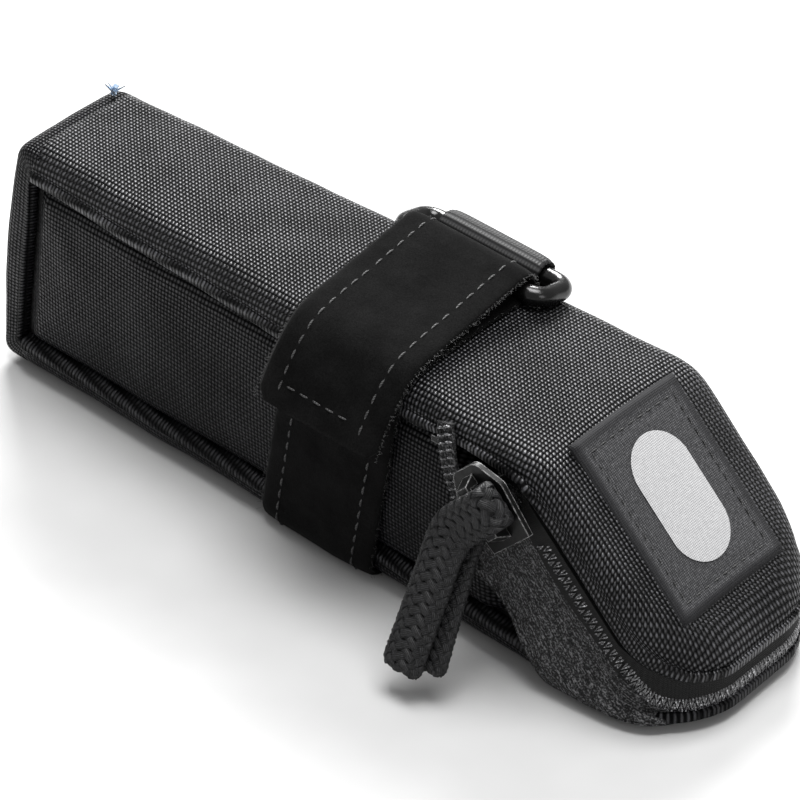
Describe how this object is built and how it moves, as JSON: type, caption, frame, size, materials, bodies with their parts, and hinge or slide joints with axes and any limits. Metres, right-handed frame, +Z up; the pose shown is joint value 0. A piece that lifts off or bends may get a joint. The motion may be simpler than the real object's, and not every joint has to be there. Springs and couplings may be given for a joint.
{
  "type": "bicycle saddle bag",
  "caption": "Wedge-shaped padded saddle bag with a zipped rear flap on a sloping tongue, braided pull cord, and a hook-and-loop strap with a ring.",
  "frame": {"origin": "middle of the strap's underside, the face that the bag rests on", "axes": "+X from the seat-post end to the sloping tongue, +Y to the side without the pull cord, +Z up through the top panel"},
  "size_m": [0.1848, 0.0704, 0.0598],
  "materials": {
    "shell_fabric": "coarse plain weave, slight sheen",
    "foam": null,
    "lining": "thin smooth weave",
    "binding_tape": "woven tape",
    "zipper_coil": "shiny black coil",
    "zipper_tape": "knitted tape, fine streaks",
    "zipper_metal": "gloss black",
    "braid": "flat tubular braid",
    "strap_cloth": "matte brushed loop cloth",
    "hook_tape": "hook tape",
    "ring_plastic": "gloss black",
    "webbing": "ribbed webbing",
    "thread": "sewing thread",
    "label_weave": "fine dark weave",
    "label_print": "pale grey print",
    "clear_plastic": "clear"
  },
  "bodies": {
    "bag": {"top_panel": "shell_fabric", "front_panel": "shell_fabric", "bottom_panel": "shell_fabric", "side_panel_left": "shell_fabric", "side_panel_right": "shell_fabric", "foam_top": "foam", "foam_front": "foam", "foam_floor": "foam", "foam_left": "foam", "foam_right": "foam", "lining_top": "lining", "lining_front": "lining", "lining_floor": "lining", "lining_left": "lining", "lining_right": "lining", "seam_binding_left": "binding_tape", "seam_binding_right": "binding_tape", "zip_coil_lower": "zipper_coil", "zip_coil_loose_end": "zipper_coil", "zip_band": "zipper_tape", "zip_end_stops": "zipper_metal", "strap_wrap": "strap_cloth", "ring_webbing": "webbing", "bar_tacks": "thread", "tag_stub": "clear_plastic"},
    "rear_flap": {"flap_panel": "shell_fabric", "foam_flap": "foam", "lining_flap": "lining", "zip_coil_flap": "zipper_coil", "zip_tape_flap": "zipper_tape", "label_patch": "label_weave", "label_mark": "label_print"},
    "slider": {"zip_slider": "zipper_metal", "slider_crown": "zipper_metal", "pull_cord_fold": "braid"},
    "pull": {"pull_cord_legs": "braid"},
    "ring": {"strap_ring": "ring_plastic", "strap_fold": "strap_cloth"},
    "tail": {"strap_tail": "strap_cloth"},
    "tip": {"strap_tip": "strap_cloth", "hook_tape_tip": "hook_tape"}
  },
  "joints": [
    {"name": "flap_hinge", "type": "hinge", "parent": "bag", "child": "rear_flap", "pos_m": [0.03, 0, 0.04978], "axis": [0, -1, 0], "range_deg": [0, 80]},
    {"name": "zip_slide", "type": "slide", "parent": "bag", "child": "slider", "axis": [0.7071, 0, -0.7071], "range_m": [0, 0.02]},
    {"name": "pull_swing", "type": "hinge", "parent": "slider", "child": "pull", "pos_m": [0.04341, -0.03003, 0.03369], "axis": [-1, 0, 0], "range_deg": [-20, 60]},
    {"name": "ring_swing", "type": "hinge", "parent": "bag", "child": "ring", "pos_m": [0.00939, 0.0219, 0.05287], "axis": [-0.9986, 0, 0.0528], "range_deg": [0, 25]},
    {"name": "tail_lift", "type": "hinge", "parent": "ring", "child": "tail", "pos_m": [0.00967, 0.0087, 0.05811], "axis": [-0.9986, 0, 0.0528], "range_deg": [0, 120]},
    {"name": "tip_peel", "type": "hinge", "parent": "tail", "child": "tip", "pos_m": [0.0095, -0.0162, 0.05486], "axis": [-0.9986, 0, 0.0528], "range_deg": [0, 80]}
  ]
}
